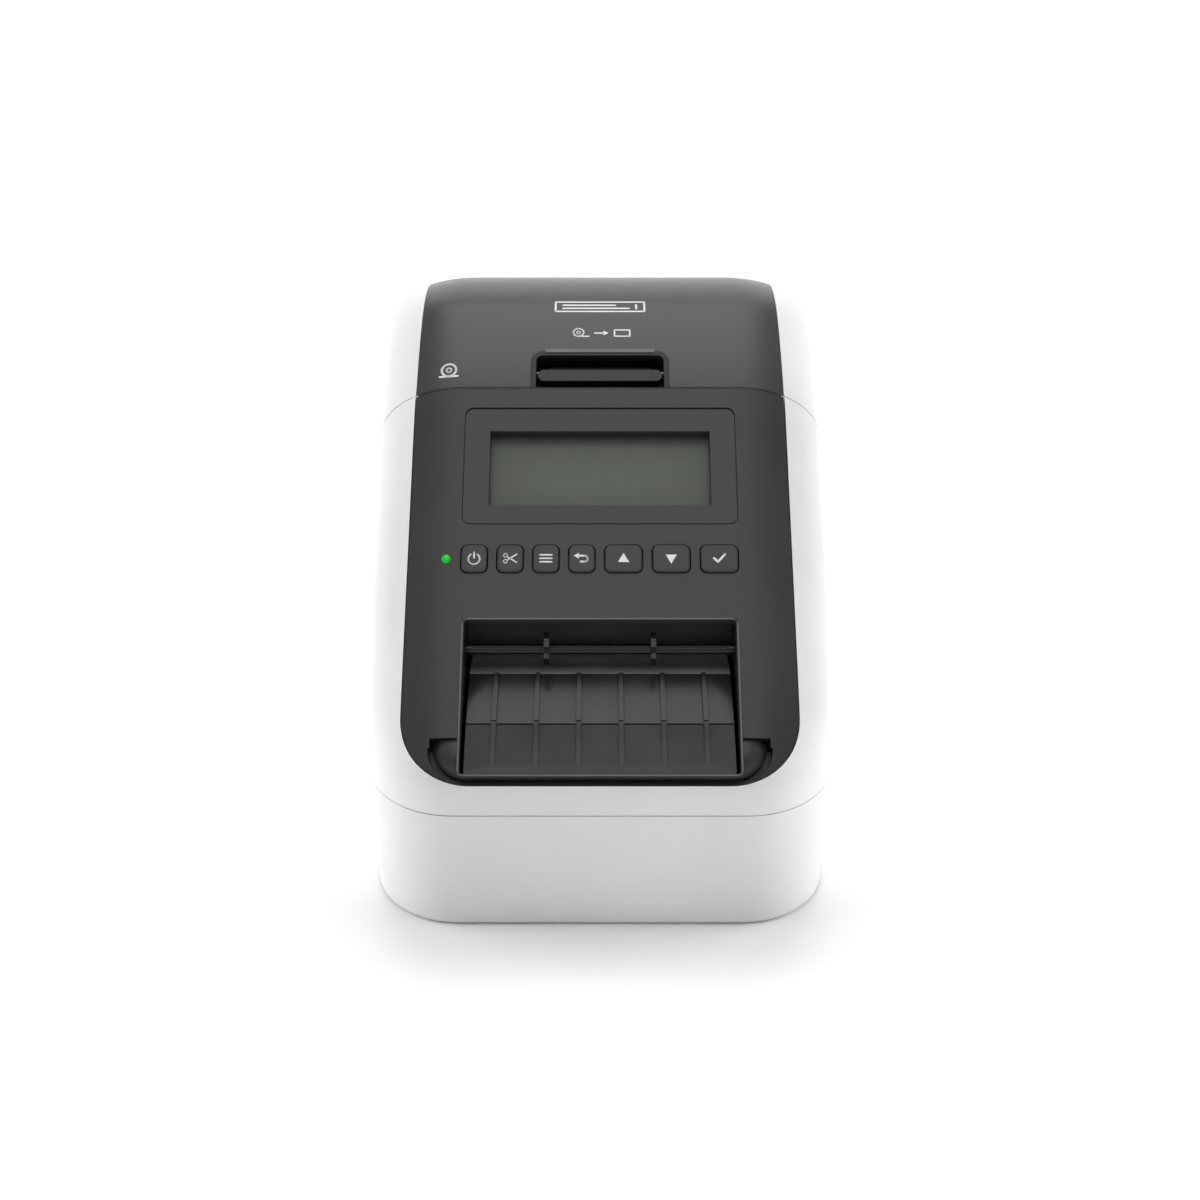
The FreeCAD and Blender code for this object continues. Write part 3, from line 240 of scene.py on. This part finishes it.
looks = {name: mouldedPlastic(name, values) for name, values in plasticLooks.items()}
looks.update({name: metalSheet(name, values) for name, values in metalLooks.items()})


def slopeAxes(tree):
    # position across the panel and up its slope, in metres, as two value sockets
    place = addNode(tree, "ShaderNodeTexCoord")
    across = addNode(tree, "ShaderNodeSeparateXYZ", links={"Vector": (place, "Object")})
    climb = addNode(tree, "ShaderNodeVectorMath", {"operation": "DOT_PRODUCT", 1: slopeUp},
                    {0: (place, "Object")})
    return across, climb


def fadeIn(tree, source, output, start, end):
    # smooth step from 0 at start to 1 at end
    return addNode(tree, "ShaderNodeMapRange",
                   {"interpolation_type": "SMOOTHSTEP", "From Min": start, "From Max": end},
                   {"Value": (source, output)})


def product(tree, first, second):
    return addNode(tree, "ShaderNodeMath", {"operation": "MULTIPLY"},
                   {0: (first, 0), 1: (second, 0)})


def displayWithPaintedShade():
    # liquid crystal display behind its polariser: flat grey-green, with painted shade darkening it
    # towards its mask, deepest at the top
    material, tree, shader = startMaterial("displayPolariserEdgeShade", {"IOR": 1.5, "Roughness": 0.35})
    across, climb = slopeAxes(tree)
    low, high = windowSpan["low"], windowSpan["high"]
    wide = windowSpan["half"]
    # painted shade: the display dims towards each edge, over a wider band at the top, standing in for the
    # shadow of the window recess
    edgeShadeFades = [
        fadeIn(tree, across, "X", -wide - 1.0 * mm, -wide + 1.6 * mm),
        fadeIn(tree, across, "X", wide + 1.0 * mm, wide - 1.4 * mm),
        fadeIn(tree, climb, "Value", low - 0.8 * mm, low + 1.2 * mm),
        fadeIn(tree, climb, "Value", high - 1.5 * mm, high - 4.5 * mm),
    ]
    unshadedShare = edgeShadeFades[0]
    for fade in edgeShadeFades[1:]:
        unshadedShare = product(tree, unshadedShare, fade)
    # the dark colour is the painted shade at the edges, the pale one the display's own grey-green
    tone = tintPair(tree, unshadedShare, 0, "4a4e48", "727b6c")
    tree.links.new(tone.outputs["Color"], shader.inputs["Base Color"])
    return material


def clearAcrylic():
    # cast acrylic display lens: colourless, polished, nearly invisible but for its gloss
    material, tree, shader = startMaterial("clearAcrylic", {
        "Base Color": linear("2a2d29"), "IOR": 1.49, "Alpha": 0.12})
    place = addNode(tree, "ShaderNodeTexCoord")
    drift = addNode(tree, "ShaderNodeTexNoise", {"Scale": 1 / (30 * mm)}, {"Vector": (place, "Object")})
    gloss = spread(tree, drift, "Fac", 0.04, 0.08)
    tree.links.new(gloss.outputs["Result"], shader.inputs["Roughness"])
    return material


def litLamp():
    # water-clear epoxy lamp with a green die: lit from inside, its green drifting at random
    material, tree, shader = startMaterial("litGreenLamp", {
        "Roughness": 0.2, "IOR": 1.5,
        "Emission Color": linear("0cd024"), "Emission Strength": 0.35})
    place = addNode(tree, "ShaderNodeTexCoord")
    drift = addNode(tree, "ShaderNodeTexNoise", {"Scale": 1 / (1.5 * mm)}, {"Vector": (place, "Object")})
    tone = tintPair(tree, drift, "Fac", "0a9a1c", "14b02a")
    tree.links.new(tone.outputs["Color"], shader.inputs["Base Color"])
    return material


looks["displayPolariserEdgeShade"] = displayWithPaintedShade()
looks["clearAcrylic"] = clearAcrylic()
looks["litGreenLamp"] = litLamp()

slotLook = {
    "case_white": "whiteAbs", "panel_dark": "charcoalAbs", "outlet_black": "blackAbs",
    "chute_dark": "polishedAcetal", "key_dark": "keyAbs", "smoke_clear": "smokePolycarbonate",
    "lens_clear": "clearAcrylic", "display_glass": "displayPolariserEdgeShade", "lamp_green": "litGreenLamp",
    "key_rubber": "siliconeRubber", "platen_rubber": "groundRubber", "foot_rubber": "footRubber",
    "board_green": "greenSolderResist", "sheet_steel": "zincSheet", "ground_steel": "groundSteel",
    "head_aluminium": "milledAluminium", "head_ceramic": "glazedAlumina", "gear_plastic": "naturalAcetal",
    "bush_brass": "sinteredBronze", "label_paper": "coatedPaper", "core_card": "woundCard",
    "spool_black": "blackAbs", "tub_dark": "blackAbs", "plate_silver": "satinFoil",
    "screw_steel": "groundSteel",
}


def paint(piece, look):
    piece.data.materials.clear()
    piece.data.materials.append(looks[look])


for name, piece in frame["nodes"].items():
    paint(piece, slotLook[nodeSlot[name]])
for name in ("exit_guide_bar", "guide_rings"):
    paint(frame["nodes"][name], "mirrorAcetal")
print("materials on", len(frame["nodes"]), "pieces")


def only(piece):
    bpy.ops.object.select_all(action="DESELECT")
    piece.select_set(True)
    bpy.context.view_layer.objects.active = piece


def settle(piece, name, body, look):
    # names a finished piece, gives it its finish and hands it to its body
    piece.name = name
    piece.data.name = name
    only(piece)
    bpy.ops.object.transform_apply(location=True, rotation=True, scale=True)
    if look:
        paint(piece, look)
    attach(piece, body)
    return piece


# CAD pieces whose skin shows: a merged copy with smooth faces stands for each
skinPieces = {
    "lower_housing": {"angle": 30},
    "upper_housing": {"angle": 30},
    "front_panel": {"angle": 30},
    "cover_shell": {"angle": 30},
    "cover_window": {"angle": 30},
    "outlet_chute": {"angle": 25},
    "outlet_box": {"angle": 25},
    "exit_guide_bar": {"angle": 40},
    "guide_rings": {"angle": 40},
    "status_lamp": {"angle": 50},
    "latch_tray": {"angle": 30},
    "release_lever": {"angle": 35},
    "roll_tub": {"angle": 30},
    "label_paper": {"angle": 30},
    "label_core": {"angle": 30},
    "spool_arms": {"angle": 30},
    "rubber_feet": {"angle": 30},
    "platen_rubber": {"angle": 30},
    "platen_shaft": {"angle": 30},
}


def skinOf(name, angle):
    source = frame["nodes"][name]
    piece = source.copy()
    piece.data = source.data.copy()
    piece.parent = None
    piece.matrix_world = Matrix.Identity(4)
    bpy.context.collection.objects.link(piece)
    only(piece)
    bpy.ops.mesh.customdata_custom_splitnormals_clear()
    bpy.ops.object.mode_set(mode="EDIT")
    bpy.ops.mesh.select_all(action="SELECT")
    bpy.ops.mesh.remove_doubles(threshold=0.002 * mm)
    bpy.ops.object.mode_set(mode="OBJECT")
    bpy.ops.object.shade_smooth_by_angle(angle=math.radians(angle))
    settle(piece, name + "_skin", nodeBody[name], None)
    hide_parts(name)
    return piece


for name in skinPieces:
    skinOf(name, skinPieces[name]["angle"])
for name in frame["nodes"]:
    if name.startswith("button_"):
        skinOf(name, 35)
print("skins made")


def bar(start, end, wide, thick):
    # straight flat bar between two points of the drawing plane
    lengthX, lengthY = end[0] - start[0], end[1] - start[1]
    length = math.hypot(lengthX, lengthY)
    middle = ((start[0] + end[0]) / 2 * mm, (start[1] + end[1]) / 2 * mm, 0)
    bpy.ops.mesh.primitive_cube_add(size=1, location=middle,
                                    rotation=(0, 0, math.atan2(lengthY, lengthX)))
    piece = bpy.context.active_object
    piece.scale = (length * mm, wide * mm, thick * mm)
    return piece


def disc(place, radius, thick, corners=24, turn=0.0):
    bpy.ops.mesh.primitive_cylinder_add(vertices=corners, radius=radius * mm, depth=thick * mm,
                                        location=(place[0] * mm, place[1] * mm, 0),
                                        rotation=(0, 0, turn))
    return bpy.context.active_object


def stroke(points, wide, thick):
    # pen line through points, with round ends and joints
    pieces = [bar(a, b, wide, thick) for a, b in zip(points, points[1:])]
    return pieces + [disc(point, wide / 2, thick) for point in points]


def arcPoints(centre, radius, start, sweep, steps=16):
    # points on an arc, angles in degrees from +X
    angles = [math.radians(start + sweep * i / steps) for i in range(steps + 1)]
    return [(centre[0] + radius * math.cos(a), centre[1] + radius * math.sin(a)) for a in angles]


def joined(pieces):
    bpy.ops.object.select_all(action="DESELECT")
    for piece in pieces:
        piece.select_set(True)
    bpy.context.view_layer.objects.active = pieces[0]
    bpy.ops.object.join()
    bpy.ops.object.transform_apply(location=True, rotation=True, scale=True)
    return bpy.context.active_object


def layOn(piece, place, across, up):
    # turns a flat drawing so that its X, Y follow two directions, and moves it to a place
    out = Vector(across).cross(Vector(up))
    turn = Matrix((across, up, out)).transposed().to_4x4()
    piece.matrix_world = Matrix.Translation(place) @ turn
    return piece


# Printed marks on the keys: pen width and print thickness in mm
ink = {"thick": 0.08, "pen": 0.42}


def pen(points, wide=None):
    return stroke(points, wide or ink["pen"], ink["thick"])


def powerMark():
    return pen(arcPoints((0, -0.15), 1.55, 125, 290)) + pen([(0, 0.1), (0, 1.75)])


def scissorsMark():
    rings = [pen(arcPoints((-1.25, side * 0.85), 0.5, 0, 360), 0.32) for side in (-1, 1)]
    blades = [pen([(-0.85, side * 0.55), (1.85, -side * 1.2)], 0.36) for side in (-1, 1)]
    return rings[0] + rings[1] + blades[0] + blades[1]


def listMark():
    return [piece for level in (-1.0, 0.0, 1.0) for piece in pen([(-1.6, level), (1.6, level)])]


def returnMark():
    turn = [(-0.7, 0.75)] + arcPoints((0.75, -0.1), 0.85, 90, -180) + [(-0.3, -0.95)]
    return pen(turn, 0.55) + [disc((-1.25, 0.75), 0.95, ink["thick"], 3, math.pi / 2)]


def upMark():
    return [disc((0, -0.2), 1.75, ink["thick"], 3, 0.0)]


def downMark():
    return [disc((0, 0.2), 1.75, ink["thick"], 3, math.pi)]


def tickMark():
    return pen([(-1.45, 0.05), (-0.45, -1.0), (1.5, 1.15)], 0.6)


keyMarks = {"power": powerMark, "cut": scissorsMark, "menu": listMark, "back": returnMark,
            "up": upMark, "down": downMark, "confirm": tickMark}
for key, draw in keyMarks.items():
    node = "button_" + key
    lowUp, highUp = reach(node, slopeUp)
    lowX, highX = reach(node, (1, 0, 0))
    top = reach(node, slopeOut)[1]
    spot = (Vector(((lowX + highX) / 2, 0, 0)) + Vector(slopeUp) * ((lowUp + highUp) / 2)
            + Vector(slopeOut) * top)
    mark = layOn(joined(draw()), spot, (1, 0, 0), slopeUp)
    settle(mark, "mark_" + key, nodeBody[node], "whiteInk")
print("key marks printed")


# Printed marks on the smoke cover: generic signs in place of words
def labelSign():
    # a printed label: outline with three lines
    frameLine = [(-13, -2.1), (13, -2.1), (13, 2.1), (-13, 2.1), (-13, -2.1)]
    lines = [[(-10.8, 0.7), (4.5, 0.7)], [(-10.8, -0.7), (8.5, -0.7)], [(10.6, -0.9), (10.6, 0.9)]]
    pieces = pen(frameLine, 0.55)
    for line in lines:
        pieces += pen(line, 0.6)
    return pieces


def stepSign():
    # three small signs in a row: a roll, an arrow, a cut strip
    roll = pen(arcPoints((-6.2, 0.2), 1.5, 0, 360), 0.45) + pen(arcPoints((-6.2, 0.2), 0.5, 0, 360), 0.4)
    tail = pen([(-6.2, -1.3), (-3.2, -1.3)], 0.45)
    arrow = pen([(-1.5, 0), (1.2, 0)], 0.5) + [disc((1.5, 0), 1.0, ink["thick"], 3, -math.pi / 2)]
    strip = pen([(4.2, -1.2), (8.6, -1.2), (8.6, 1.2), (4.2, 1.2), (4.2, -1.2)], 0.45)
    return roll + tail + arrow + strip


def rollSign():
    # label roll seen from its end
    ring = pen(arcPoints((0, 0.5), 2.1, 0, 360), 0.6) + pen(arcPoints((0, 0.5), 0.7, 0, 360), 0.5)
    return ring + pen([(-2.6, -1.7), (2.6, -1.7)], 0.6)


coverSigns = {
    # place over the cover: X and Y in mm; the height is found on the cover itself
    "sign_label": {"draw": labelSign, "spot": (0.0, -10.5)},
    "sign_steps": {"draw": stepSign, "spot": (0.0, -20.0)},
    "sign_roll": {"draw": rollSign, "spot": (-43.0, -31.4)},
}


def onCover(x, y):
    # point and direction of the cover's outer face above a place
    found, place, normal, index = bpy.data.objects["cover_window_skin"].ray_cast(
        Vector((x * mm, y * mm, 0.3)), Vector((0, 0, -1)))
    return place, normal


# bevelled front edge of the finger notch, painted paler grey as the highlight it catches
lipPlace, lipNormal = onCover(0.0, -25.7)
lipUp = Vector((1, 0, 0)).cross(lipNormal) * -1
notchLip = layOn(joined([bar((-15.6, 0), (15.6, 0), 1.2, 0.5)]), lipPlace, (1, 0, 0), tuple(lipUp))
settle(notchLip, "notch_lip", nodeBody["cover_window"], "paleEdgeHighlight")

for name, sign in coverSigns.items():
    place, normal = onCover(*sign["spot"])
    across = Vector((1, 0, 0)) - normal * normal.x
    across.normalize()
    mark = layOn(joined(sign["draw"]()), place, tuple(across), tuple(normal.cross(across)))
    settle(mark, name, nodeBody["cover_window"], "whiteInk")
print("cover signs printed")


# Outlet trim: a fine raised line round the opening, painted paler grey as its highlight, and a pale plate
# on the label shelf whose colour is painted light
def slopePoint(across, climb, out):
    # a place given in metres across, up the slope and out from it
    return Vector((across, 0, 0)) + Vector(slopeUp) * climb + Vector(slopeOut) * out


# the line runs just outside the opening, which ends where the ramp and the guide bar end
trim = {"wide": 0.34, "thick": 0.30, "proud": 0.28, "outside": 0.35, "belowKeys": 12.35}
openingLow = reach("outlet_chute", slopeUp)[0] - trim["outside"] * mm
openingHigh = reach("button_up", slopeUp)[0] - trim["belowKeys"] * mm
panelOut = reach("display_bezel", slopeOut)[1] + 0.1 * mm
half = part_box("exit_guide_bar")[1].x / mm + trim["outside"]
height = (openingHigh - openingLow) / mm
corner = 0.9
path = (arcPoints((half - corner, height - corner), corner, 0, 90, 4)
        + arcPoints((-half + corner, height - corner), corner, 90, 90, 4)
        + arcPoints((-half + corner, corner), corner, 180, 90, 4)
        + arcPoints((half - corner, corner), corner, 270, 90, 4))
rim = layOn(joined(stroke(path + path[:1], trim["wide"], trim["thick"])),
            slopePoint(0, openingLow, panelOut + (trim["proud"] - trim["thick"] / 2) * mm),
            (1, 0, 0), slopeUp)
settle(rim, "outlet_rim", nodeBody["front_panel"], "paleEdgeHighlight")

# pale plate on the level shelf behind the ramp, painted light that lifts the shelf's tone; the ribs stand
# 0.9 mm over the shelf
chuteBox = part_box("outlet_chute")
plate = {"long": 12.4, "thick": 0.2, "rear": chuteBox[1].y / mm - 1.0, "top": chuteBox[1].z / mm - 0.9}
plateY = plate["rear"] - plate["long"] / 2
paintedLightPlate = joined([bar((chuteBox[0].x / mm, plateY), (chuteBox[1].x / mm, plateY),
                        plate["long"], plate["thick"])])
paintedLightPlate.location = (0, 0, (plate["top"] + plate["thick"] / 2) * mm)
settle(paintedLightPlate, "shelf_light_plate", nodeBody["outlet_chute"], "paintedShelfLight")
print("outlet trimmed")

# Black sheet on the case's front cross-bar, under the gap between panel and cover: painted shade that
# makes the gap read dark
seam = {"thick": 0.1, "below": 2.0, "above": 3.0, "deep": 12.0, "sideGap": 0.6}
seamClimb = reach("front_panel", slopeUp)[1]
barSkin = bpy.data.objects["upper_housing_skin"]
seamShadeSheet = barSkin.copy()
seamShadeSheet.data = barSkin.data.copy()
bpy.context.collection.objects.link(seamShadeSheet)
only(seamShadeSheet)
halfSeam = reach("cover_window", (1, 0, 0))[1] - seam["sideGap"] * mm
cuts = [
    # point and outward direction of each side of the strip
    ((halfSeam, 0, 0), (1, 0, 0)),
    ((-halfSeam, 0, 0), (-1, 0, 0)),
    (slopePoint(0, seamClimb + seam["above"] * mm, 0), slopeUp),
    (slopePoint(0, seamClimb - seam["below"] * mm, 0), tuple(-c for c in slopeUp)),
    (slopePoint(0, 0, panelOut - seam["deep"] * mm), tuple(-c for c in slopeOut)),
]
bpy.ops.object.mode_set(mode="EDIT")
for place, away in cuts:
    bpy.ops.mesh.select_all(action="SELECT")
    bpy.ops.mesh.bisect(plane_co=place, plane_no=away, clear_outer=True)
bpy.ops.object.mode_set(mode="OBJECT")
thicken = seamShadeSheet.modifiers.new("shadeSheet", "SOLIDIFY")
thicken.thickness = seam["thick"] * mm
thicken.offset = 1
bpy.ops.object.modifier_apply(modifier="shadeSheet")
settle(seamShadeSheet, "cover_seam_shade", nodeBody["upper_housing"], "blackAbs")
print("seam darkened")

# Studio: pale floor, wide soft light from above
studio = {"floorSize": 60.0, "floorTone": "ffffff", "worldTone": "ffffff", "worldStrength": 0.20}
bpy.ops.object.select_all(action="DESELECT")
bpy.ops.mesh.primitive_plane_add(size=studio["floorSize"], location=(0, 0, 0))
floor = bpy.context.active_object
floor.name = "floor"
floorMaterial, floorTree, floorShader = startMaterial("paperSweep", {
    "Base Color": linear(studio["floorTone"]), "Roughness": 0.8})
floor.data.materials.append(floorMaterial)

world = bpy.data.worlds.new("studioWorld")
bpy.context.scene.world = world
world.use_nodes = True
world.node_tree.nodes["Background"].inputs["Color"].default_value = linear(studio["worldTone"])
world.node_tree.nodes["Background"].inputs["Strength"].default_value = studio["worldStrength"]

suns = {
    # from: direction towards the light; the key stands above and behind, wide ones fill the sides
    "keySun": {"from": (0.0, 0.50, 0.86), "angle": 30, "power": 1.0},
    "backSun": {"from": (0.0, 0.10, 0.99), "angle": 90, "power": 0.8},
    "leftSun": {"from": (-0.94, 0.20, 0.30), "angle": 50, "power": 2.2},
    "rightSun": {"from": (0.94, 0.20, 0.30), "angle": 50, "power": 2.2},
}


def hangLight(name, kind, place, target, power):
    # a lamp at a place that points at a target
    light = bpy.data.lights.new(name, kind)
    light.energy = power
    lamp = bpy.data.objects.new(name, light)
    bpy.context.collection.objects.link(lamp)
    lamp.location = place
    lamp.rotation_euler = (Vector(place) - Vector(target)).to_track_quat("Z", "Y").to_euler()
    return lamp


for name, plan in suns.items():
    lamp = hangLight(name, "SUN", Vector(plan["from"]) * 1.5, (0, 0, 0), plan["power"])
    lamp.data.angle = math.radians(plan["angle"])
    lamp.visible_glossy = False

# soft boxes that only show as gloss on the dark panel and the cover
glossBoxes = {
    "frontGloss": {"place": (0.0, -0.62, 1.15), "size": 0.8, "power": 2.3},
    "zenithGloss": {"place": (0.0, 0.30, 1.35), "size": 0.9, "power": 3.8},
    "rearGloss": {"place": (0.0, 1.30, 0.75), "size": 1.3, "power": 6.0},
}
for name, plan in glossBoxes.items():
    lamp = hangLight(name, "AREA", plan["place"], (0, 0, 0.1), plan["power"])
    lamp.data.size = plan["size"]
    lamp.visible_diffuse = False

# a 42.9 mm lens over a 36 mm sensor, looking down on the slope
cameraPlan = {"place": (0, -0.4262, 0.2463), "pitch": 25.75, "sensor": 36, "lens": 42.9}
cameraData = bpy.data.cameras.new("camera")
cameraData.sensor_width = cameraPlan["sensor"]
cameraData.lens = cameraPlan["lens"]
cameraData.clip_start = 0.01
camera = bpy.data.objects.new("camera", cameraData)
bpy.context.collection.objects.link(camera)
camera.location = cameraPlan["place"]
camera.rotation_euler = (math.radians(90 - cameraPlan["pitch"]), 0, 0)
bpy.context.scene.camera = camera
bpy.context.scene.view_settings.view_transform = "Standard"
print("studio ready")
